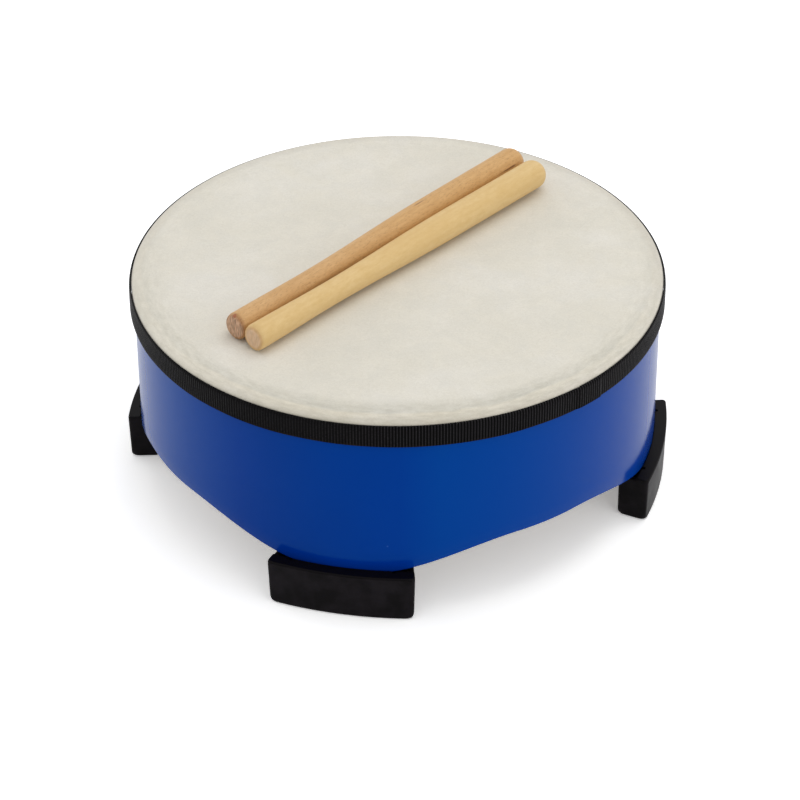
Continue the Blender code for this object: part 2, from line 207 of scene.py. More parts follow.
class Finish:
    """A node material in the making: each method adds a node and gives back the socket to go on from."""

    def __init__(self, name, roughness, gloss):
        self.material = bpy.data.materials.new(name)
        self.material.use_nodes = True
        self.tree = self.material.node_tree
        self.shader = self.tree.nodes["Principled BSDF"]
        self.shader.inputs["Roughness"].default_value = roughness
        self.shader.inputs["Specular IOR Level"].default_value = gloss

    def add(self, kind, inputs, **settings):
        return add_node(self.tree, kind, inputs, **settings)

    def place(self, kind, stretch=(1, 1, 1), turn=(0, 0, 0), shift=(0, 0, 0)):
        """Coordinates in metres: Object runs through the piece, and UV along it and round its section."""
        coords = self.add("TexCoord", {}).outputs[kind]
        inputs = {"Vector": coords, "Scale": stretch, "Rotation": turn, "Location": shift}
        return self.add("Mapping", inputs).outputs[0]

    def cloud(self, place, scale, detail=2.0, roughness=0.5, distortion=0.0):
        inputs = {"Vector": place, "Scale": scale, "Detail": detail}
        inputs |= {"Roughness": roughness, "Distortion": distortion}
        return self.add("TexNoise", inputs).outputs[0]

    def math(self, how, first, second=0.0):
        return self.add("Math", {0: first, 1: second}, operation=how).outputs[0]

    def spread(self, value, low, high, to_low=0.0, to_high=1.0):
        """Stretches the part of a value from low to high over another range, held at its ends."""
        return self.add("MapRange", {0: value, 1: low, 2: high, 3: to_low, 4: to_high}).outputs[0]

    def ramp(self, value, *stops):
        node = self.add("ValToRGB", {0: value})
        elements = node.color_ramp.elements
        while len(elements) < len(stops):
            elements.new(0.5)
        for element, (at, colour) in zip(elements, stops):
            element.position = at
            element.color = (*colour, 1.0)
        return node.outputs[0]

    def mix(self, how, share, first, second):
        colours = [(*c, 1.0) if isinstance(c, tuple) else c for c in (first, second)]
        inputs = {0: share, 6: colours[0], 7: colours[1]}
        return self.add("Mix", inputs, data_type="RGBA", blend_type=how).outputs[2]

    def bump(self, height, depth, strength):
        inputs = {"Height": height, "Distance": depth, "Strength": strength}
        self.join("Normal", self.add("Bump", inputs).outputs[0])

    def join(self, socket, value):
        self.tree.links.new(value, self.shader.inputs[socket])


def bare_plywood(name, start):
    """Face veneer with its grain along the hoop, sanded and left without a finish."""
    wood = Finish(name, roughness=0.62, gloss=0.25)
    broad = wood.cloud(wood.place("UV", stretch=(3, 60, 1), shift=start), 1.0, 3.0, 0.55, 0.8)
    fine = wood.cloud(wood.place("UV", stretch=(40, 1500, 1), shift=start), 1.0, 2.0)
    pores = wood.cloud(wood.place("UV", stretch=(250, 4200, 1), shift=start), 1.0, 1.0)
    colour = wood.ramp(broad, (0.32, PLY_DARK), (0.62, PLY_PALE))
    colour = wood.mix("MULTIPLY", wood.spread(fine, 0.45, 0.75, 0.0, 0.35), colour, PLY_DARK)
    colour = wood.mix("MULTIPLY", wood.spread(pores, 0.64, 0.72, 0.0, 0.6), colour, PLY_DARK)
    wood.join("Base Color", colour)
    wood.bump(fine, 0.00008, 0.35)
    return wood


def shell_underside(bearing):
    """Height of the shell's lower edge: low in each foot, arched between them."""
    turns = [abs((bearing - foot + 180) % 360 - 180) for foot in foot_bearings.values()]
    share = (min(turns) - LOBE_HALF_ANGLE) / (ARCH_HALF_START - LOBE_HALF_ANGLE)
    return LOBE_HEIGHT + ARCH_RISE * ease(share)


def shell_section(bearing):
    """Up the outside, over the top and down the bare inside."""
    low = shell_underside(bearing)
    outer, inner = SHELL_OUTER_ROUND, SHELL_INNER_ROUND
    outer_low = arc((SHELL_RADIUS - outer, low + outer), outer, 270, 360, SHELL_OUTER_STEPS)
    outer_high = arc((SHELL_RADIUS - outer, SHELL_TOP - outer), outer, 0, 90, SHELL_OUTER_STEPS)
    inner_high = arc((SHELL_INSIDE + inner, SHELL_TOP - inner), inner, 90, 180, SHELL_INNER_STEPS)
    inner_low = arc((SHELL_INSIDE + inner, low + inner), inner, 180, 270, SHELL_INNER_STEPS)
    outside = outer_low + between(outer_low[-1], outer_high[0], SHELL_ROWS) + outer_high
    return outside + inner_high + between(inner_high[-1], inner_low[0], SHELL_ROWS) + inner_low


def shell_bow(bearing, height):
    """How far a bent strip strays from a true circle."""
    return SHELL_WAVE * noise.noise(Vector(ring_point(WAVES_ROUND, bearing, height * WAVES_UP)))


blue_lacquer = Finish("blue_lacquer", roughness=0.16, gloss=0.18)
blue_lacquer.shader.inputs["Specular Tint"].default_value = (*LACQUER_TINT, 1.0)
whole = blue_lacquer.place("Object")
coat_and_painted_light = blue_lacquer.ramp(blue_lacquer.cloud(whole, 13, 2.0), (0.2, BLUE), (0.8, BLUE_THINNER))
across = blue_lacquer.add("SeparateXYZ", {0: whole}).outputs[0]
# Painted light: the blue turns lighter towards the right and the left.
coat_and_painted_light = blue_lacquer.mix("MIX", blue_lacquer.spread(across, *RIGHT_PAINTED_LIGHT_SPAN), coat_and_painted_light, BLUE_PAINTED_LIGHT_RIGHT)
coat_and_painted_light = blue_lacquer.mix("MIX", blue_lacquer.spread(across, *LEFT_PAINTED_LIGHT_SPAN), coat_and_painted_light, BLUE_PAINTED_LIGHT_LEFT)
nib_place = ring_point(SHELL_RADIUS, NIB_BEARING, NIB_HEIGHT)
nib_reach = blue_lacquer.add("VectorMath", {0: whole, 1: nib_place}, operation="DISTANCE").outputs["Value"]
nib = blue_lacquer.spread(nib_reach, NIB_RADIUS / 3, NIB_RADIUS, 1.0, 0.0)
blue_lacquer.join("Base Color", blue_lacquer.mix("MIX", nib, coat_and_painted_light, NIB))
patchy = blue_lacquer.cloud(whole, 40, 3.0)
blue_lacquer.join("Roughness", blue_lacquer.spread(patchy, 0.0, 1.0, 0.12, 0.20))
orange_peel = blue_lacquer.cloud(whole, 520, 1.0)
raised = blue_lacquer.math("ADD", orange_peel, blue_lacquer.math("MULTIPLY", nib, NIB_LIFT))
blue_lacquer.bump(raised, 0.00003, 0.15)

shell_inside_wood = bare_plywood("shell_inside_wood", start=(0.0, 0.0, 0.0))
shell_loops = []
for step in range(SHELL_COLUMNS):
    bearing = SCARF_BEARING + 360 * step / SHELL_COLUMNS
    loop = []
    for radius, height in shell_section(bearing):
        loop.append(ring_point(radius + shell_bow(bearing, height), bearing, height))
    shell_loops.append(loop)
shell_along = [math.tau * SHELL_RADIUS * step / SHELL_COLUMNS for step in range(SHELL_COLUMNS + 1)]
outside_count = 2 * (SHELL_OUTER_STEPS + 1) + SHELL_ROWS - 1
sawn_count = SHELL_INNER_STEPS + 1
inside_count = len(shell_loops[0]) - outside_count - sawn_count
shell_finishes = [0] * outside_count + [1] * inside_count + [0] * sawn_count
shell_mesh = loft("bent_shell", shell_loops, shell_along, finishes=shell_finishes)
add_piece("bent_shell", shell_mesh, [blue_lacquer, shell_inside_wood], "drum", ["shell"])

# Rim hoop: a second, narrow strip of plywood bent inside the shell's top edge and glued there. It doubles
# the edge that the skin is drawn over, and its ends meet in a plain butt joint behind.
hoop_low, hoop_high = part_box("rim_hoop")
HOOP_OUTSIDE = hoop_high[0]
HOOP_TOP = hoop_high[2]
HOOP_BOTTOM = hoop_low[2]
HOOP_WALL = 0.0045
HOOP_INSIDE = HOOP_OUTSIDE - HOOP_WALL
HOOP_ROUND = 0.0010
HOOP_TOP_ROUND = 0.0003
HOOP_JOINT_BEARING = 152
HOOP_JOINT_GAP = 0.25
HOOP_STEPS = 240

top_corner = (HOOP_INSIDE + HOOP_TOP_ROUND, HOOP_TOP - HOOP_TOP_ROUND)
low_corner = (HOOP_INSIDE + HOOP_ROUND, HOOP_BOTTOM + HOOP_ROUND)
hoop_section = [(HOOP_OUTSIDE, HOOP_BOTTOM), (HOOP_OUTSIDE, HOOP_TOP)]
hoop_section += arc(top_corner, HOOP_TOP_ROUND, 90, 180, 2)
hoop_section += between((HOOP_INSIDE, HOOP_TOP), (HOOP_INSIDE, HOOP_BOTTOM), 4)
hoop_section += arc(low_corner, HOOP_ROUND, 180, 270, 5)
hoop_loops, hoop_along = [], []
for step in range(HOOP_STEPS + 1):
    turn = HOOP_JOINT_GAP + (360 - HOOP_JOINT_GAP) * step / HOOP_STEPS
    hoop_loops.append([ring_point(r, HOOP_JOINT_BEARING + turn, z) for r, z in hoop_section])
    hoop_along.append(math.radians(turn) * HOOP_INSIDE)
hoop_wood = bare_plywood("hoop_wood", start=(1.7, 0.4, 0.0))
hoop_mesh = loft("inner_hoop", hoop_loops, hoop_along, joined=False)
add_piece("inner_hoop", hoop_mesh, [hoop_wood], "drum", ["rim_hoop"])

# Drum head: one round of natural hide, soaked, drawn over the rim, folded down outside it and dried tight.
# It is cloudy and fibrous. A broken grey ring just inside the rim, strongest at the front, is painted shade:
# the hollow's shade seen through the thin hide. On the wood it is yellower and darker towards the rim, most
# at the front, and behind a darker band runs along the rim: both painted shade, where the edge rolls over.
skin_low, skin_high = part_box("drum_head")
SKIN_TOP = skin_high[2]
SKIN_BOTTOM = skin_low[2]
SKIN_RADIUS = skin_high[0]
SKIN_THICKNESS = 0.0006
SKIN_ROUND = 0.0018
SKIN_DIP = 0.00022
DIP_FADE = 0.006
DIPS_BROAD = 22
DIPS_SMALL = 90
SKIN_COLUMNS = 240
SKIN_RINGS = 40
HIDE = (0.748, 0.717, 0.637)
HIDE_WHITE = (0.770, 0.744, 0.680)
HIDE_GREY = (0.724, 0.694, 0.613)
RING_BEARING = 10
# The ring grey is painted shade: the hollow's shade seen through the thin hide, inside the rim.
RING_PAINTED_SHADE = (0.830, 0.836, 0.828)
# The back rim tint is painted shade: a darker band along the rim on the sides and behind.
BACK_RIM_SHADE = (0.925, 0.922, 0.925)
RING_INSIDE = (0.1085, 0.1165)
RING_OUTSIDE = (0.1192, 0.1212)
RING_RAGGED = 0.0012
RING_NARROWS = 0.0093
RING_DRIFTS = 0.0025
BACK_RIM_SHADE_STARTS = (0.1212, 0.1248)
WOOD_REACH = (0.119, 0.129)
# On the wood the hide is yellower, and darker towards the rim: partly painted shade of the edge rolling
# over.
WOOD_TINTS_AND_RIM_SHADE = [
    (0.04, (1.0, 1.0, 1.0)),
    (0.20, (0.952, 0.932, 0.890)),
    (0.34, (0.925, 0.905, 0.864)),
    (0.54, (0.845, 0.828, 0.790)),
    (0.74, (0.790, 0.775, 0.740)),
    (0.94, (0.755, 0.740, 0.700)),
]
MOTTLE_STARTS = (0.110, 0.117)
PATCH_TINTS = [(0.36, (0.962, 0.966, 0.966)), (0.62, (1.015, 1.012, 1.0))]
FIBRE_TINTS = [(0.34, (0.92, 0.912, 0.895)), (0.62, (1.02, 1.02, 1.02))]
MOTTLE_TINTS = [(0.36, (0.910, 0.905, 0.890)), (0.64, (1.03, 1.03, 1.03))]


def skin_section():
    """Out along the underside, down and up the folded skirt, and in along the top."""
    corner = (SKIN_RADIUS - SKIN_ROUND, SKIN_TOP - SKIN_ROUND)
    under = SKIN_TOP - SKIN_THICKNESS
    inner_edge = arc(corner, SKIN_ROUND - SKIN_THICKNESS, 90, 0, 4)
    outer_edge = arc(corner, SKIN_ROUND, 0, 90, 7)
    skirt_inside = SKIN_RADIUS - SKIN_THICKNESS
    out = [(0.0, under)] + between((0.0, under), inner_edge[0], SKIN_RINGS) + inner_edge
    skirt = between(inner_edge[-1], (skirt_inside, SKIN_BOTTOM), 3)
    skirt += [(skirt_inside, SKIN_BOTTOM), (SKIN_RADIUS, SKIN_BOTTOM)]
    skirt += between((SKIN_RADIUS, SKIN_BOTTOM), outer_edge[0], 3)
    top = outer_edge + between(outer_edge[-1], (0.0, SKIN_TOP), SKIN_RINGS) + [(0.0, SKIN_TOP)]
    return out + skirt + top


def skin_dip(point):
    """A dried hide isn't quite flat: how far it dips, never above its nominal top."""
    east, north, _ = point
    broad = noise.noise(Vector((east * DIPS_BROAD, north * DIPS_BROAD, 0.3)))
    small = noise.noise(Vector((east * DIPS_SMALL, north * DIPS_SMALL, 2.1)))
    return SKIN_DIP * (0.5 + 0.38 * broad + 0.12 * small)


skin_loops = []
for step in range(SKIN_COLUMNS):
    loop = []
    for radius, height in skin_section():
        point = ring_point(radius, 180 + 360 * step / SKIN_COLUMNS, height)
        flat_share = ease((SKIN_RADIUS - 2 * SKIN_ROUND - radius) / DIP_FADE)
        loop.append((point[0], point[1], height - flat_share * skin_dip(point)))
    skin_loops.append(loop)
skin_along = [math.tau * SKIN_RADIUS * step / SKIN_COLUMNS for step in range(SKIN_COLUMNS + 1)]

hide = Finish("scraped_hide", roughness=0.58, gloss=0.22)
whole = hide.place("Object")
broad_cloud = hide.cloud(whole, 24, 3.0, 0.55, 0.4)
small_cloud = hide.cloud(whole, 95, 3.0, 0.6, 0.5)
fibre = hide.cloud(whole, 480, 3.0, 0.65, 2.2)
tone = hide.ramp(broad_cloud, (0.30, HIDE_GREY), (0.50, HIDE), (0.70, HIDE_WHITE))
tone = hide.mix("MULTIPLY", 0.7, tone, hide.ramp(small_cloud, *PATCH_TINTS))
tone = hide.mix("MULTIPLY", 0.75, tone, hide.ramp(fibre, *FIBRE_TINTS))
axes = hide.add("SeparateXYZ", {0: whole})
squares = [hide.math("POWER", axes.outputs[axis], 2.0) for axis in (0, 1)]
reach = hide.math("SQRT", hide.math("ADD", *squares))
strays = hide.spread(hide.cloud(whole, 60, 3.0), 0.25, 0.75, -RING_RAGGED, RING_RAGGED)
ragged = hide.math("ADD", reach, strays)
# Aside is 0 on the painted shade ring's own bearing, 1 at right angles to it and 2 opposite.
ring_side = hide.add("VectorMath", {0: whole, 1: ring_point(1, RING_BEARING, 0)}, operation="DOT_PRODUCT")
aside = hide.math("SUBTRACT", 1.0, hide.math("DIVIDE", ring_side.outputs["Value"], reach))
narrows = hide.math("MULTIPLY", hide.math("SQRT", aside), RING_NARROWS)
ring_starts = hide.spread(hide.math("SUBTRACT", ragged, narrows), *RING_INSIDE)
drifted = hide.math("SUBTRACT", ragged, hide.math("MULTIPLY", aside, RING_DRIFTS))
ring_ends = hide.spread(drifted, *RING_OUTSIDE, 1.0, 0.0)
uneven = hide.spread(hide.cloud(whole, 42, 2.0), 0.36, 0.56, 0.65, 1.0)
fades = hide.spread(aside, 0.2, 1.2, 1.0, 0.6)
stops = hide.spread(aside, 1.1, 1.5, 1.0, 0.0)
# Painted shade: a broken grey ring inside the rim, strongest at the front, fading round the sides.
ring = hide.math("MULTIPLY", ring_starts, ring_ends)
for share in (uneven, fades, stops):
    ring = hide.math("MULTIPLY", ring, share)
tone = hide.mix("MULTIPLY", ring, tone, RING_PAINTED_SHADE)
# Painted shade: a darker band at the rim on the sides and behind, where the edge turns down.
back_rim_shade = hide.math("MULTIPLY", hide.spread(ragged, *BACK_RIM_SHADE_STARTS), hide.spread(aside, 0.6, 1.2))
tone = hide.mix("MULTIPLY", back_rim_shade, tone, BACK_RIM_SHADE)
# Yellower on the wood and darker towards the rim, most at the front: the darkening is partly painted shade.
on_wood_and_rim_shade = hide.ramp(hide.spread(drifted, *WOOD_REACH), *WOOD_TINTS_AND_RIM_SHADE)
tone = hide.mix("MULTIPLY", hide.spread(aside, 0.0, 0.40, 0.95, 0.33), tone, on_wood_and_rim_shade)
streaky = hide.cloud(hide.place("UV", stretch=(140, 420, 1)), 1.0, 3.0, 0.6)
by_rim = hide.spread(reach, *MOTTLE_STARTS)
mottled = hide.math("MULTIPLY", by_rim, hide.spread(aside, 0.4, 1.3, 1.0, 0.3))
tone = hide.mix("MULTIPLY", mottled, tone, hide.ramp(streaky, *MOTTLE_TINTS))
hide.join("Base Color", tone)
hide.join("Roughness", hide.spread(small_cloud, 0.3, 0.7, 0.50, 0.66))
hide.bump(hide.math("ADD", fibre, small_cloud), 0.00012, 0.30)

skin_mesh = loft("skin", skin_loops, skin_along, closed=False)
skin = add_piece("skin", skin_mesh, [hide], "drum", ["drum_head"])

# Staples: sixteen bent wires, driven through the skin's skirt into the shell and then covered by the tape.
# They are zinc-plated steel, with a soft shine and a slight unevenness from the plating.
ZINC = (0.60, 0.61, 0.60)
ZINC_DULL = (0.44, 0.45, 0.45)


def zinc_plate(name):
    zinc = Finish(name, roughness=0.32, gloss=0.5)
    zinc.shader.inputs["Metallic"].default_value = 1.0
    whole = zinc.place("Object")
    spangle = zinc.cloud(whole, 700, 3.0)
    zinc.join("Base Color", zinc.ramp(spangle, (0.35, ZINC_DULL), (0.65, ZINC)))
    zinc.join("Roughness", zinc.spread(zinc.cloud(whole, 1500, 2.0), 0.3, 0.7, 0.26, 0.42))
    zinc.bump(spangle, 0.00002, 0.2)
    return zinc


staple_zinc = zinc_plate("staple_zinc")
for name, node in frame["nodes"].items():
    if name.startswith("head_staple"):
        node.data.materials.clear()
        node.data.materials.append(staple_zinc.material)

# Trim tape: one length of black ribbed woven tape, glued round the skirt over the staples. Its ribs run up
# and down, its upper edge is curled in over the skin's edge, and its end laps over its start. The gaps
# between its ribs are painted shade, and its rib crowns are painted lighter on its right half: painted
# highlight where light grazes them.
tape_low, tape_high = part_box("trim_tape")
TAPE_OUTSIDE = tape_high[0]
TAPE_TOP = tape_high[2]
TAPE_BOTTOM = tape_low[2]
TAPE_THICKNESS = 0.0005
TAPE_CURL_IN = 0.0008
RIB_PITCH = 0.00142
RIB_DEPTH = 0.00020
RIB_STEPS = 6
LAP_START = 52.5
LAP_LENGTH = 0.0125
LAP_RISE = 0.00055
LAP_RAMP = 0.004
TAPE_WANDER = 0.00018
WANDER_WAVES = 6.0
LAP_WANDERS_APART = 4000
# Painted highlight: across this span the rib crowns turn lighter towards the right, where light grazes them.
PAINTED_HIGHLIGHT_SPAN = (-0.030, 0.030)
RIBS_FLATTENED_UNLIT = 0.25
GLUE_HEIGHT = (0.0003, 0.0012)
# The gap colour is painted shade: near black in the gaps between the ribs.
TAPE_GAP_SHADE = (0.0004, 0.0003, 0.0004)
TAPE_BLACK = (0.0052, 0.0046, 0.0053)
TAPE_WORN = (0.0230, 0.0212, 0.0230)
TAPE_GLUE = (0.018, 0.011, 0.008)
CROWN_PAINTED_HIGHLIGHT = (1.95, 1.95, 1.95)

tape_round = math.tau * TAPE_OUTSIDE
rib_count = round(tape_round / RIB_PITCH)
lap_ribs = round(LAP_LENGTH / RIB_PITCH)
tape_turn = 360 / (rib_count * RIB_STEPS)
# Heights up the tape's face, each with how far it leans in and how much of the rib shows there.
tape_rows = [
    (0.00, 0.00, 0.0), (0.04, 0.00, 0.8), (0.20, 0.00, 1.0), (0.40, 0.00, 1.0), (0.60, 0.00, 1.0),
    (0.74, 0.00, 1.0), (0.82, 0.03, 0.9), (0.88, 0.10, 0.7), (0.93, 0.26, 0.4), (0.965, 0.50, 0.1),
    (0.99, 0.80, 0.0),
]
tape_loops, tape_along, tape_crowns = [], [], []
for step in range((rib_count + lap_ribs) * RIB_STEPS + 1):
    bearing = LAP_START + step * tape_turn
    run = math.radians(step * tape_turn) * TAPE_OUTSIDE
    rib = RIB_DEPTH * math.cos(math.pi * step / RIB_STEPS) ** 2
    lap = LAP_RISE * ease((run - tape_round + LAP_RAMP) / LAP_RAMP)
    wander = TAPE_WANDER * noise.noise(Vector(ring_point(WANDER_WAVES, bearing, lap * LAP_WANDERS_APART)))
    height = TAPE_TOP - TAPE_BOTTOM - wander
    front, back = [], []
    for up, lean, ribbed in tape_rows:
        out = TAPE_OUTSIDE + lap - lean * TAPE_CURL_IN
        front.append((out - ribbed * rib, TAPE_BOTTOM + wander + up * height))
        back.append((out - TAPE_THICKNESS, TAPE_BOTTOM + wander + up * height))
    lip = [(TAPE_OUTSIDE + lap - TAPE_CURL_IN - TAPE_THICKNESS / 2, TAPE_TOP)]
    section = front + lip + back[::-1]
    tape_crowns += [1 - rib / RIB_DEPTH] * len(section)
    tape_loops.append([ring_point(r, bearing, z) for r, z in section])
    tape_along.append(run)

woven_tape = Finish("woven_tape", roughness=0.27, gloss=0.035)
woven_tape.shader.inputs["Sheen Weight"].default_value = 0.02
woven_tape.shader.inputs["Sheen Roughness"].default_value = 0.3
yarn = woven_tape.cloud(woven_tape.place("UV", stretch=(700, 2600, 1)), 1.0, 2.0)
handled = woven_tape.cloud(woven_tape.place("Object"), 70, 3.0)
weave = woven_tape.ramp(yarn, (0.35, TAPE_BLACK), (0.70, TAPE_WORN))
weave = woven_tape.mix("MIX", woven_tape.spread(handled, 0.55, 0.75, 0.0, 0.5), weave, TAPE_WORN)
crown = woven_tape.add("Attribute", {}, attribute_name="rib_crown").outputs["Fac"]
tape_axes = woven_tape.add("SeparateXYZ", {0: woven_tape.place("Object")})
# Painted highlight: rib crowns lighter to the right, where light grazes them, and ribs flatter to the left.
painted_lit_share = woven_tape.spread(tape_axes.outputs[0], *PAINTED_HIGHLIGHT_SPAN)
weave = woven_tape.mix("MULTIPLY", painted_lit_share, weave, CROWN_PAINTED_HIGHLIGHT)
flattened_unlit = woven_tape.spread(painted_lit_share, 0.0, 1.0, RIBS_FLATTENED_UNLIT, 0.0)
ribbed = woven_tape.spread(crown, 0.50, 1.0, flattened_unlit, woven_tape.math("SUBTRACT", 1.0, flattened_unlit))
# Painted shade in the gaps between the ribs, with the crowns keeping the woven colour.
weave = woven_tape.mix("MIX", ribbed, TAPE_GAP_SHADE, weave)
glue_heights = [TAPE_BOTTOM + height for height in GLUE_HEIGHT]
glue = woven_tape.spread(tape_axes.outputs[2], *glue_heights, 0.6, 0.0)
glue = woven_tape.math("MULTIPLY", glue, woven_tape.spread(handled, 0.40, 0.60))
woven_tape.join("Base Color", woven_tape.mix("MIX", glue, weave, TAPE_GLUE))
picks = woven_tape.add("TexWave", {
    "Vector": woven_tape.place("UV"), "Scale": 900.0, "Distortion": 1.5, "Detail": 1.0, "Detail Scale": 1.0,
}, bands_direction="Y").outputs[1]
woven_tape.bump(woven_tape.math("ADD", picks, yarn), 0.00006, 0.25)

tape_mesh = loft("edge_tape", tape_loops, tape_along, joined=False)
tape_mesh.attributes.new("rib_crown", "FLOAT", "POINT").data.foreach_set("value", tape_crowns)
tape = add_piece("edge_tape", tape_mesh, [woven_tape], "drum", ["trim_tape"])

# Feet: four blocks moulded in black rubber. The shell's lobe drops into a groove in each, behind an outer
# lip a little flatter than the shell, and a tab stands up behind the wall. The mould leaves two pin marks in
# the lip and a fine line round it, just below its edge.
FOOT_HEIGHT = 0.0243
FOOT_WIDTH = 0.0713
FOOT_LIP = 0.0060
FOOT_LIP_FLARE = 0.0011
FOOT_SEAT_DEPTH = 0.0033
FOOT_DRAFT = math.tan(math.radians(1.3))
FOOT_END_ROUND = 0.0012
FOOT_CORNER_ROUND = 0.0040
FOOT_PLAN_ROUND = 0.0016
FOOT_SOLE_ROUND = 0.0010
FOOT_LIP_ROUND = 0.0006
FOOT_LIP_END_ROUND = 0.0009
FOOT_LIP_CORNER_ROUND = 0.0015
FOOT_GAP = 0.0003
MOULD_LINE_DROP = 0.0003
MOULD_LINE_SIZE = 0.0004
GROOVE_FLARE = 0.0009
GROOVE_STOP = 0.0024
GROOVE_STOP_LENGTH = 0.0018
GROOVE_STOP_SLOPE = 0.0030
TAB_WALL = 0.0034
TAB_HEIGHT = 0.021
TAB_ROUND = 0.008
TAB_EDGE = 0.0007
PIN_MARK_RADIUS = 0.0010
PIN_MARK_DEPTH = 0.0012
PIN_MARK_INSET = 0.0100
PIN_MARK_SIDES = 20
RUBBER = (0.0031, 0.0023, 0.0029)
RUBBER_BLOOM = (0.0104, 0.0084, 0.0105)
RUBBER_DUST = (0.045, 0.043, 0.046)
BLOOM_STOPS_BELOW_LIP = (0.0010, 0.0004)

lip_outside = SHELL_RADIUS + FOOT_LIP
groove_outside = SHELL_RADIUS + FOOT_GAP
groove_inside = SHELL_INSIDE - FOOT_GAP
tab_inside = groove_inside - TAB_WALL
tab_top = FOOT_HEIGHT + TAB_HEIGHT
seat_height = FOOT_HEIGHT - FOOT_SEAT_DEPTH
foot_half = FOOT_WIDTH / 2


def quarter_round(radius, distance):
    """How far a quarter round of this radius has pulled in at a distance from the corner."""
    left = max(radius - distance, 0.0)
    return radius - math.sqrt(radius**2 - left**2)


def groove_wall(from_end):
    """Radius of the groove's outer wall, which is a little flatter than the shell too."""
    return groove_outside + GROOVE_FLARE * (1 - from_end / foot_half) ** 2


def foot_section(from_end):
    """The foot's outline across the wall, at a distance from its end."""
    pull = quarter_round(FOOT_PLAN_ROUND, from_end)
    sole = quarter_round(FOOT_END_ROUND, from_end)
    lip_drop = quarter_round(FOOT_LIP_END_ROUND, from_end)
    top = tab_top - quarter_round(TAB_ROUND, from_end)
    outside = lip_outside + FOOT_LIP_FLARE * (1 - from_end / foot_half) ** 2 - pull
    foot_out = outside - FOOT_DRAFT * (FOOT_HEIGHT - sole)
    foot_in = tab_inside + pull
    near_corner = max(1 - from_end / FOOT_CORNER_ROUND, 0.0)
    rounding = FOOT_SOLE_ROUND + (FOOT_CORNER_ROUND - FOOT_SOLE_ROUND) * near_corner**2
    lip_top = FOOT_HEIGHT - lip_drop
    stop_share = ease((GROOVE_STOP_LENGTH + GROOVE_STOP_SLOPE - from_end) / GROOVE_STOP_SLOPE)
    seat = seat_height + GROOVE_STOP * stop_share - lip_drop
    section = arc((foot_out - rounding, sole + rounding), rounding, 270, 360, 8)
    lip_round = FOOT_LIP_ROUND + (FOOT_LIP_CORNER_ROUND - FOOT_LIP_ROUND) * near_corner**2
    line_drop = lip_round + MOULD_LINE_DROP
    line = outside - FOOT_DRAFT * line_drop
    for deep, up in ((0, -1), (1, 0), (0, 1)):
        section.append((line - deep * MOULD_LINE_SIZE, lip_top - line_drop + up * MOULD_LINE_SIZE))
    section += arc((outside - lip_round, lip_top - lip_round), lip_round, 0, 90, 5)
    wall = groove_wall(from_end)
    section += [(wall, lip_top), (wall, seat), (groove_inside, seat)]
    section += arc((groove_inside - TAB_EDGE, top - TAB_EDGE), TAB_EDGE, 0, 90, 3)
    section += arc((foot_in + TAB_EDGE, top - TAB_EDGE), TAB_EDGE, 90, 180, 3)
    section += arc((foot_in + rounding, sole + rounding), rounding, 180, 270, 8)
    return section


def foot_stations():
    """Distances from the foot's end where its outline is drawn, closest where it turns quickest."""
    insets = {FOOT_END_ROUND * share for share in (0.0, 0.03, 0.1, 0.22, 0.4, 0.65, 1.0, 1.4)}
    insets |= {FOOT_CORNER_ROUND * share for share in (0.42, 0.56, 0.72, 0.86, 1.0)}
    insets |= {TAB_ROUND * share for share in (0.6, 0.72, 0.86, 1.0)}
    insets |= {TAB_ROUND + (foot_half - TAB_ROUND) * step / 10 for step in range(1, 11)}
    return sorted(insets)


def add_rod(work, radius, sides, start, end):
    """A closed rod between two points."""
    start, end = Vector(start), Vector(end)
    along = end - start
    place = Matrix.Translation((start + end) / 2) @ along.to_track_quat("Z", "Y").to_matrix().to_4x4()
    bmesh.ops.create_cone(
        work, cap_ends=True, segments=sides, radius1=radius, radius2=radius, depth=along.length,
        matrix=place)


def cut_out(mesh, work):
    """The mesh with the closed shapes of a bmesh taken out of it."""
    body = bpy.data.objects.new("body", mesh)
    tool = bpy.data.objects.new("tool", bpy.data.meshes.new("tool"))
    work.to_mesh(tool.data)
    work.free()
    for part in (body, tool):
        bpy.context.scene.collection.objects.link(part)
    cut = body.modifiers.new("cut", "BOOLEAN")
    cut.operation = "DIFFERENCE"
    cut.object = tool
    ready = body.evaluated_get(bpy.context.evaluated_depsgraph_get())
    result = bpy.data.meshes.new_from_object(ready)
    result.set_sharp_from_angle(angle=math.radians(HARD_CORNER))
    for part in (body, tool):
        bpy.data.objects.remove(part)
    return result


def placed(mesh, place):
    """A copy of a mesh, moved to its place."""
    copy = mesh.copy()
    copy.transform(place)
    return copy


foot_loops, foot_along = [], []
insets = foot_stations()
places = [inset - foot_half for inset in insets] + [foot_half - inset for inset in insets[-2::-1]]
for place in places:
    loop = []
    for radius, height in foot_section(foot_half - abs(place)):
        taper = 1 - FOOT_DRAFT * max(FOOT_HEIGHT - height, 0.0) / foot_half
        loop.append(ring_point(radius, math.degrees(place * taper / lip_outside), height))
    foot_loops.append(loop)
    foot_along.append(place)
marks = bmesh.new()
mark_radius = groove_wall(PIN_MARK_INSET) + PIN_MARK_RADIUS / 2
mark_turn = math.degrees((foot_half - PIN_MARK_INSET) / lip_outside)
for side in (-1, 1):
    low = ring_point(mark_radius, side * mark_turn, FOOT_HEIGHT - PIN_MARK_DEPTH)
    high = ring_point(mark_radius, side * mark_turn, FOOT_HEIGHT + PIN_MARK_DEPTH)
    add_rod(marks, PIN_MARK_RADIUS, PIN_MARK_SIDES, low, high)
foot_mesh = cut_out(loft("moulded_foot", foot_loops, foot_along, joined=False), marks)

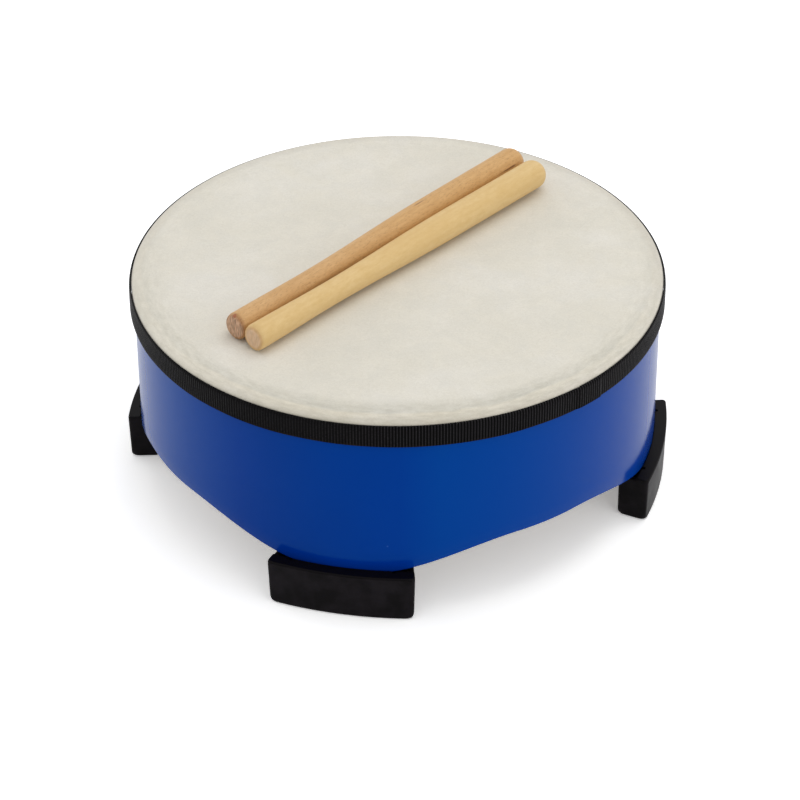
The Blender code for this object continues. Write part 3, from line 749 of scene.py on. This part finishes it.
rubber = Finish("moulded_rubber", roughness=0.34, gloss=0.07)
whole = rubber.place("Object")
bloom = rubber.cloud(whole, 85, 4.0, 0.6)
dust = rubber.add("TexVoronoi", {"Vector": whole, "Scale": 120.0})
picked = rubber.math("GREATER_THAN", dust.outputs["Color"], 0.62)
speck = rubber.math("MULTIPLY", picked, rubber.spread(dust.outputs["Distance"], 0.025, 0.055, 0.8, 0.0))
height = rubber.add("SeparateXYZ", {0: whole}).outputs[2]
bloom_heights = [FOOT_HEIGHT - below for below in BLOOM_STOPS_BELOW_LIP]
below_lip = rubber.spread(height, *bloom_heights, 1.0, 0.0)
bloom_share = rubber.math("MULTIPLY", rubber.spread(bloom, 0.38, 0.64), below_lip)
moulded = rubber.mix("MIX", bloom_share, RUBBER, RUBBER_BLOOM)
rubber.join("Base Color", rubber.mix("MIX", speck, moulded, RUBBER_DUST))
rubber.join("Roughness", rubber.spread(bloom, 0.3, 0.7, 0.30, 0.42))
grit = rubber.cloud(whole, 2600, 2.0)
rubber.bump(grit, 0.00004, 0.30)
for name, bearing in foot_bearings.items():
    turned_foot = placed(foot_mesh, Matrix.Rotation(math.radians(bearing), 4, "Z"))
    foot = add_piece(
        f"rubber_foot_{name}", turned_foot, [rubber], "drum", [f"foot_{name}"])
    even = foot.modifiers.new("even", "WEIGHTED_NORMAL")
    even.keep_sharp = True

# Foot screws and washers: two pan-head screws to a foot, each with a washer, driven from inside through the
# foot's tab into the shell. They are zinc-plated steel with a cross recess.
SCREW_SHANK_RADIUS = 0.0015
SCREW_HEAD_RADIUS = 0.0030
SCREW_HEAD_HEIGHT = 0.0021
SCREW_HEAD_SIDE = 0.0009
SCREW_CROWN_STEPS = 7
SCREW_CROWN_TAPER = 0.5
SCREW_TIP_LENGTH = 0.0012
SCREW_TIP_COVER = 0.0010
RECESS_LENGTH = 0.0031
RECESS_WIDTH = 0.0007
RECESS_DEPTH = 0.0012
WASHER_RADIUS = 0.0045
WASHER_THICKNESS = 0.0008
WASHER_HOLE = 0.0018
WASHER_ROUND = 0.0002
SCREW_COLUMNS = 40
# A screw stops wherever it comes tight, so each recess is turned by its foot's bearing and its own number.
SPIN_BY_BEARING = 37
SPIN_BY_NUMBER = 53

screw_height = FOOT_HEIGHT + TAB_HEIGHT / 2
screw_turn = math.degrees(FOOT_WIDTH / 4 / lip_outside)
washer_seat = math.sqrt(tab_inside**2 - WASHER_RADIUS**2) - FOOT_GAP
screw_seat = washer_seat - WASHER_THICKNESS - FOOT_GAP
screw_length = SHELL_RADIUS - SCREW_TIP_COVER - screw_seat


def turned(name, profile, columns, closed):
    """A turned mesh: its profile is (radius, height) points up the outer side."""
    loops = [[ring_point(r, 360 * step / columns, z) for r, z in profile] for step in range(columns)]
    widest = max(radius for radius, _ in profile)
    along = [math.tau * widest * step / columns for step in range(columns + 1)]
    return loft(name, loops, along, closed=closed)


def facing_axis(bearing, radius, height):
    """A frame at a point of a wall: local +Z looks at the drum's axis, local +Y is up."""
    turn = Matrix.Rotation(math.radians(bearing), 4, "Z")
    tip = Matrix.Rotation(math.radians(-90), 4, "X")
    upright = Matrix.Rotation(math.radians(180), 4, "Z")
    return Matrix.Translation(ring_point(radius, bearing, height)) @ turn @ tip @ upright


screw_profile = [(0.0, -screw_length), (SCREW_SHANK_RADIUS, SCREW_TIP_LENGTH - screw_length)]
screw_profile += [(SCREW_SHANK_RADIUS, 0.0), (SCREW_HEAD_RADIUS, 0.0), (SCREW_HEAD_RADIUS, SCREW_HEAD_SIDE)]
for step in range(1, SCREW_CROWN_STEPS):
    angle = math.radians(90 * step / SCREW_CROWN_STEPS)
    crown = SCREW_HEAD_SIDE + (SCREW_HEAD_HEIGHT - SCREW_HEAD_SIDE) * math.sin(angle)
    screw_profile.append((SCREW_HEAD_RADIUS * math.cos(angle) ** SCREW_CROWN_TAPER, crown))
screw_profile.append((0.0, SCREW_HEAD_HEIGHT))
recess = bmesh.new()
for size in ((RECESS_LENGTH, RECESS_WIDTH), (RECESS_WIDTH, RECESS_LENGTH)):
    place = Matrix.Translation((0, 0, SCREW_HEAD_HEIGHT)) @ Matrix.Diagonal((*size, 2 * RECESS_DEPTH, 1))
    bmesh.ops.create_cube(recess, size=1.0, matrix=place)
screw_mesh = cut_out(turned("pan_head_screw", screw_profile, SCREW_COLUMNS, closed=False), recess)

round_out = WASHER_RADIUS - WASHER_ROUND
round_in = WASHER_HOLE + WASHER_ROUND
round_up = WASHER_THICKNESS - WASHER_ROUND
washer_profile = [(WASHER_HOLE, 0.0)]
washer_profile += arc((round_out, WASHER_ROUND), WASHER_ROUND, 270, 360, 3)
washer_profile += arc((round_out, round_up), WASHER_ROUND, 0, 90, 3)
washer_profile += arc((round_in, round_up), WASHER_ROUND, 90, 180, 3)
washer_mesh = turned("flat_washer", washer_profile, SCREW_COLUMNS, closed=True)

screw_zinc = zinc_plate("screw_zinc")
for foot_name, foot_bearing in foot_bearings.items():
    for number, side in ((1, -1), (2, 1)):
        bearing = foot_bearing + side * screw_turn
        which = f"{foot_name}_{number}"
        spin = Matrix.Rotation(
            math.radians(SPIN_BY_BEARING * foot_bearing + SPIN_BY_NUMBER * number), 4, "Z")
        screw_place = facing_axis(bearing, screw_seat, screw_height) @ spin
        washer_place = facing_axis(bearing, washer_seat, screw_height)
        add_piece(f"screw_{which}", placed(screw_mesh, screw_place), [screw_zinc],
                  "drum", [f"foot_screw_{which}"])
        add_piece(f"washer_{which}", placed(washer_mesh, washer_place), [screw_zinc],
                  "drum", [f"foot_washer_{which}"])

# Beaters: two sticks turned from solid wood, a reddish beech one behind and a pale birch one in front. Each
# has a slim waist near its butt and swells to a rounded head, and is sealed with a thin clear finish.
BEATER_LENGTH = 0.2032
BUTT_RADIUS = 0.0064
WAIST_CUT = 0.0006
HEAD_SWELL = 0.0009
WAIST_AT = 0.052
HEAD_FROM = 0.135
BUTT_REST = 0.0010
STICK_GAP = 0.0003
PAIR_CENTRE = (-0.0045, 0.0094)
PAIR_HEADING = math.radians(59.3)
PAIR_STAGGER = 0.0009
STICK_COLUMNS = 72
STICK_ROWS = 90
TIP_STEPS = 14
SAWN_FADE = 0.0017
BUTT_WEAR = 0.6
TIP_GRAIN = 0.6
TIP_GRAIN_STARTS = 0.45
TIP_GRAIN_FADE = 0.5
HEAD_WARMS = (0.050, 0.130)
# The rings of a wave texture lie this far apart at a scale of 1.
WAVE_GAP = math.tau / 20


def stick_radius(along):
    """Radius of a stick at a distance from its butt."""
    if along < WAIST_AT:
        return BUTT_RADIUS - WAIST_CUT * ease(along / WAIST_AT)
    share = ease((along - WAIST_AT) / (HEAD_FROM - WAIST_AT))
    return BUTT_RADIUS - WAIST_CUT + (HEAD_SWELL + WAIST_CUT) * share


def stick_mesh(name, butt, sawn_radius, tip_round, tip_taper):
    """Turned from its butt, given as (radius, height) points, to its tip, and worn at one side of the butt.

    A lower tip_taper leaves the tip blunter. The end_grain attribute says where the grain is cut across.
    """
    shoulder = BEATER_LENGTH - tip_round
    butt_end = butt[-1][1]
    profile = [(0.0, 0.0), *butt]
    profile += [(stick_radius(along), along) for (along,) in between((butt_end,), (shoulder,), STICK_ROWS)]
    for step in range(TIP_STEPS + 1):
        angle = math.radians(90 * step / TIP_STEPS)
        radius = stick_radius(shoulder) * max(math.cos(angle), 0.0) ** tip_taper
        profile.append((radius if step < TIP_STEPS else 0.0, shoulder + tip_round * math.sin(angle)))
    mesh = turned(name, profile, STICK_COLUMNS, closed=False)
    ends = mesh.attributes.new("end_grain", "FLOAT", "POINT")
    for vert in mesh.vertices:
        radius, height = math.hypot(vert.co.x, vert.co.y), vert.co.z
        at_butt = height < butt_end - SAME_POINT
        sawn = 1 - ease((radius - sawn_radius) / SAWN_FADE) if at_butt else 0.0
        if at_butt and radius > 0:
            vert.co.z *= 1 - BUTT_WEAR * vert.co.x / radius
        up_tip = (height - shoulder) / tip_round
        shaped = ease((up_tip - TIP_GRAIN_STARTS) / TIP_GRAIN_FADE)
        ends.data[vert.index].value = max(sawn, TIP_GRAIN * shaped)
    return mesh


def stick_place(side):
    """Where a stick lies on the skin. Side +1 lies behind the pair's middle line, -1 in front of it."""
    lean = math.asin(HEAD_SWELL / (HEAD_FROM - BUTT_REST))
    ahead = Vector((math.cos(PAIR_HEADING), math.sin(PAIR_HEADING), 0.0))
    across = Vector((-math.sin(PAIR_HEADING), math.cos(PAIR_HEADING), 0.0))
    butt = Vector((*PAIR_CENTRE, SKIN_TOP + STICK_GAP + BUTT_RADIUS))
    butt += ahead * (side * PAIR_STAGGER - BEATER_LENGTH) / 2
    butt += across * side * (BUTT_RADIUS + STICK_GAP / 2)
    turn = Matrix.Rotation(PAIR_HEADING + side * lean, 4, "Z")
    lay = Matrix.Rotation(math.radians(90) - lean, 4, "Y")
    return Matrix.Translation(butt) @ turn @ lay


def turned_wood(name, gloss, pale, dark, fleck, ends, scratch, rim, heart, ring_gap, ring_share,
                fleck_share, head_tint, marks):
    """Solid wood: growth rings round a heart beside the stick, soft figure and short flecks.

    Ends is the colour of sawn end grain, darkened by scratches and at its rim. Head_tint, if any, changes
    the colour towards the head. Marks are dark spots: where each is, half its width and length, its colour.
    """
    wood = Finish(name, roughness=0.46, gloss=gloss)
    along = wood.place("Object", stretch=(1, 1, 0.035), turn=(0.012, 0.02, 0.0), shift=heart)
    rings = wood.add("TexWave", {
        "Vector": along, "Scale": WAVE_GAP / ring_gap, "Distortion": 3.0, "Detail": 2.0,
        "Detail Scale": 0.6, "Detail Roughness": 0.5,
    }, wave_type="RINGS", rings_direction="Z", wave_profile="SIN").outputs[1]
    streaks = wood.cloud(wood.place("Object", stretch=(1, 1, 0.06), shift=heart), 620, 3.0, 0.6)
    figure = wood.cloud(wood.place("Object", stretch=(1, 1, 0.45), shift=heart), 420, 4.0, 0.7)
    broad = wood.cloud(wood.place("Object", stretch=(1, 1, 0.40), shift=heart), 85, 2.0)
    flecks = wood.cloud(wood.place("Object", stretch=(1, 1, 0.22), shift=heart), 2300, 1.0)
    colour = wood.mix("MIX", wood.spread(rings, 0.20, 0.95, 0.0, ring_share), pale, dark)
    colour = wood.mix("MIX", wood.spread(broad, 0.38, 0.66, 0.0, 0.45), colour, dark)
    colour = wood.mix("MIX", wood.spread(figure, 0.40, 0.68, 0.0, 0.70), colour, dark)
    colour = wood.mix("MIX", wood.spread(streaks, 0.46, 0.74, 0.0, 0.30), colour, dark)
    colour = wood.mix("MIX", wood.spread(flecks, 0.54, 0.70, 0.0, fleck_share), colour, fleck)
    if head_tint:
        from_butt = wood.add("SeparateXYZ", {0: wood.place("Object")}).outputs[2]
        colour = wood.mix("MULTIPLY", wood.spread(from_butt, *HEAD_WARMS), colour, head_tint)
    end_grain = wood.add("Attribute", {}, attribute_name="end_grain").outputs["Fac"]
    scratches = wood.cloud(wood.place("Object", stretch=(0.18, 1, 1), shift=heart), 1500, 1.5)
    sawn = wood.ramp(scratches, (0.38, tuple(scratch * part for part in ends)), (0.60, ends))
    sawn = wood.mix("MULTIPLY", wood.spread(rings, 0.20, 0.95, 0.0, 0.12), sawn, dark)
    colour = wood.mix("MIX", end_grain, colour, sawn)
    # Four times a share and its rest is 1 at the rim, half way from the sawn face to the side.
    at_rim = wood.math("MULTIPLY", end_grain, wood.math("SUBTRACT", 1.0, end_grain))
    colour = wood.mix("MULTIPLY", wood.math("MULTIPLY", at_rim, 4.0), colour, rim)
    for at, half_width, half_length, tint in marks:
        sizes = (half_width, half_width, half_length)
        stretch = tuple(1 / size for size in sizes)
        shift = tuple(-offset / size for offset, size in zip(at, sizes))
        spot = wood.place("Object", stretch=stretch, shift=shift)
        far = wood.add("VectorMath", {0: spot}, operation="LENGTH").outputs["Value"]
        uneven = wood.math("ADD", far, wood.spread(figure, 0.3, 0.7, -0.4, 0.4))
        colour = wood.mix("MIX", wood.spread(uneven, 0.55, 1.1, 0.85, 0.0), colour, tint)
    wood.join("Base Color", colour)
    wood.join("Roughness", wood.spread(streaks, 0.3, 0.7, 0.42, 0.54))
    wood.bump(wood.math("SUBTRACT", streaks, wood.spread(flecks, 0.54, 0.70, 0.0, 0.5)), 0.00006, 0.30)
    return wood


STREAK = (0.20, 0.085, 0.030)
RED_FLECK = (0.36, 0.11, 0.045)
beech = turned_wood(
    "beech_wood", gloss=0.38,
    pale=(0.665, 0.408, 0.182), dark=(0.555, 0.312, 0.118), fleck=(0.34, 0.17, 0.06),
    ends=(0.66, 0.410, 0.262), scratch=0.55, rim=(0.70, 0.58, 0.46), heart=(0.017, -0.011, 0.05),
    ring_gap=0.0024, ring_share=0.35, fleck_share=0.42, head_tint=(0.995, 0.982, 0.905),
    marks=[
        ((-0.0072, 0.0008, 0.1295), 0.00035, 0.0055, STREAK),
        ((-0.0030, -0.0066, 0.1880), 0.00045, 0.0075, STREAK),
        ((-0.0058, 0.0005, 0.0009), 0.0012, 0.0014, RED_FLECK),
    ])
birch = turned_wood(
    "birch_wood", gloss=0.24,
    pale=(0.748, 0.540, 0.260), dark=(0.672, 0.452, 0.184), fleck=(0.55, 0.35, 0.14),
    ends=(0.765, 0.530, 0.338), scratch=0.86, rim=(0.93, 0.86, 0.76), heart=(-0.012, 0.021, 0.4),
    ring_gap=0.0030, ring_share=0.22, fleck_share=0.16, head_tint=None, marks=[])
# The beech butt is sanded round. The birch one keeps a sawn flat inside a broad chamfer.
beech_butt = [(0.0030, 0.00003), (0.0045, 0.00013), (0.0054, 0.0004), (0.0060, 0.0009), (0.0063, 0.0016),
              (stick_radius(0.0026), 0.0026)]
birch_butt = [(0.0030, 0.00002), (0.0039, 0.00005), (0.0042, 0.00014), (0.0053, 0.0004), (0.0059, 0.0008),
              (0.0062, 0.0014), (stick_radius(0.0024), 0.0024)]
beech_mesh = stick_mesh("beech_stick", beech_butt, sawn_radius=0.0049, tip_round=0.0060, tip_taper=0.85)
birch_mesh = stick_mesh("birch_stick", birch_butt, sawn_radius=0.0045, tip_round=0.0069, tip_taper=1.0)
add_piece("beech_stick", beech_mesh, [beech], "beater_beech", ["beater_beech"], stick_place(1))
add_piece("birch_stick", birch_mesh, [birch], "beater_birch", ["beater_birch"], stick_place(-1))

# Floor and room: a white paper sweep in a white room. Its brightness to the eye is set apart from the light
# that it throws on the drum, and it keeps the drum's soft shadow.
FLOOR_REACH = 8.0
FLOOR_SIDES = 96
FLOOR_DROP = 0.0002
FLOOR_WHITE = 0.75
FLOOR_SEEN_EXTRA = 0.525
FLOOR_GLOW = 0.26
ROOM_LIGHT = 0.66
ROOM_WHITE = 1.0


def seen_or_mirrored(tree):
    """1 for what the eye sees straight, in a gloss or through glass, and 0 for light thrown on the drum."""
    path = add_node(tree, "LightPath", {}).outputs
    share = path["Is Camera Ray"]
    for ray in ("Is Glossy Ray", "Is Transmission Ray"):
        share = add_node(tree, "Math", {0: share, 1: path[ray]}, operation="MAXIMUM").outputs[0]
    return share


floor_mesh = bpy.data.meshes.new("paper_floor")
work = bmesh.new()
floor_place = Matrix.Translation((0, 0, -FLOOR_DROP))
bmesh.ops.create_circle(work, cap_ends=True, segments=FLOOR_SIDES, radius=FLOOR_REACH, matrix=floor_place)
work.to_mesh(floor_mesh)
work.free()
floor = bpy.data.objects.new("paper_floor", floor_mesh)
bpy.context.scene.collection.objects.link(floor)
paper = bpy.data.materials.new("white_paper")
paper.use_nodes = True
floor_mesh.materials.append(paper)
tree = paper.node_tree
tree.nodes.remove(tree.nodes["Principled BSDF"])
matt = add_node(tree, "BsdfDiffuse", {"Color": (FLOOR_WHITE,) * 3 + (1.0,)}).outputs[0]
glow = add_node(tree, "Emission", {"Strength": FLOOR_GLOW}).outputs[0]
lit = add_node(tree, "AddShader", {0: matt, 1: glow}).outputs[0]
thrown = add_node(tree, "MixShader", {0: seen_or_mirrored(tree), 1: matt, 2: lit}).outputs[0]
extra = add_node(tree, "BsdfDiffuse", {"Color": (FLOOR_SEEN_EXTRA,) * 3 + (1.0,)}).outputs[0]
bright = add_node(tree, "AddShader", {0: lit, 1: extra}).outputs[0]
straight = add_node(tree, "LightPath", {}).outputs["Is Camera Ray"]
exposed = add_node(tree, "MixShader", {0: straight, 1: thrown, 2: bright}).outputs[0]
tree.links.new(exposed, tree.nodes["Material Output"].inputs["Surface"])

room = bpy.data.worlds.new("white_room")
room.use_nodes = True
bpy.context.scene.world = room
tree = room.node_tree
tree.nodes.remove(tree.nodes["Background"])
white = (1.0, 1.0, 1.0, 1.0)
thrown = add_node(tree, "Background", {"Color": white, "Strength": ROOM_LIGHT}).outputs[0]
seen = add_node(tree, "Background", {"Color": white, "Strength": ROOM_WHITE}).outputs[0]
chosen = add_node(tree, "MixShader", {0: seen_or_mirrored(tree), 1: thrown, 2: seen}).outputs[0]
tree.links.new(chosen, tree.nodes["World Output"].inputs["Surface"])

# Lamps: a large soft box overhead and a little behind, a broad one low at the front right, and a smaller
# one low at the left and a little behind. All are square area lamps that aim at the drum.
LAMP_AIM = (0.0, 0.0, 0.05)
LAMPS = {
    "overhead_box": {"at": (0.30, 0.46, 1.90), "size": 1.6, "watts": 11.5},
    "right_box": {"at": (1.62, -0.85, 0.50), "size": 1.8, "watts": 8.7},
    "left_box": {"at": (-1.90, 0.60, 0.70), "size": 1.2, "watts": 5.4},
}
for name, lamp in LAMPS.items():
    light = bpy.data.lights.new(name, "AREA")
    light.shape = "SQUARE"
    light.size = lamp["size"]
    light.energy = lamp["watts"]
    holder = bpy.data.objects.new(name, light)
    bpy.context.scene.collection.objects.link(holder)
    holder.location = lamp["at"]
    aim = Vector(LAMP_AIM) - holder.location
    holder.rotation_euler = aim.to_track_quat("-Z", "Y").to_euler()

# Camera: a long lens from the front, a little to the right of the front foot and well above the drum. Its
# distance and rise are measured from the centre of the tape's upper edge, and it aims a little below that.
LENS = 139.31
SENSOR = 36.0
IMAGE_SIDE = 800
VIEW_DISTANCE = 1.4926
VIEW_BEARING = 12.1
VIEW_RISE = math.radians(32.821)
AIM_DROP = math.radians(2.3977)
AIM_TURN = math.radians(0.0563)
VIEW_ROLL = math.radians(-0.282)
# The view was solved from places counted at the centres of pixels, so its aim moves by half a pixel.
HALF_PIXEL = 0.5 * SENSOR / LENS / IMAGE_SIDE

stand = Vector((0.0, -math.cos(VIEW_RISE), math.sin(VIEW_RISE))) * VIEW_DISTANCE
fall = VIEW_RISE + AIM_DROP
ahead = Vector((math.sin(AIM_TURN) * math.cos(fall), math.cos(AIM_TURN) * math.cos(fall), -math.sin(fall)))
level = ahead.cross(Vector((0.0, 0.0, 1.0))).normalized()
upright = level.cross(ahead)
right = math.cos(VIEW_ROLL) * level + math.sin(VIEW_ROLL) * upright
up = math.cos(VIEW_ROLL) * upright - math.sin(VIEW_ROLL) * level
ahead = (ahead - HALF_PIXEL * right + HALF_PIXEL * up).normalized()
right = ahead.cross(up).normalized()
up = right.cross(ahead)
swing = Matrix.Rotation(math.radians(VIEW_BEARING), 4, "Z")
axes = Matrix((right, up, -ahead)).transposed().to_4x4()
lens = bpy.data.cameras.new("view")
lens.lens = LENS
lens.sensor_width = SENSOR
camera = bpy.data.objects.new("view", lens)
bpy.context.scene.collection.objects.link(camera)
camera.matrix_world = Matrix.Translation((0, 0, TAPE_TOP)) @ swing @ Matrix.Translation(stand) @ axes
bpy.context.scene.camera = camera
bpy.context.scene.view_settings.view_transform = "Standard"
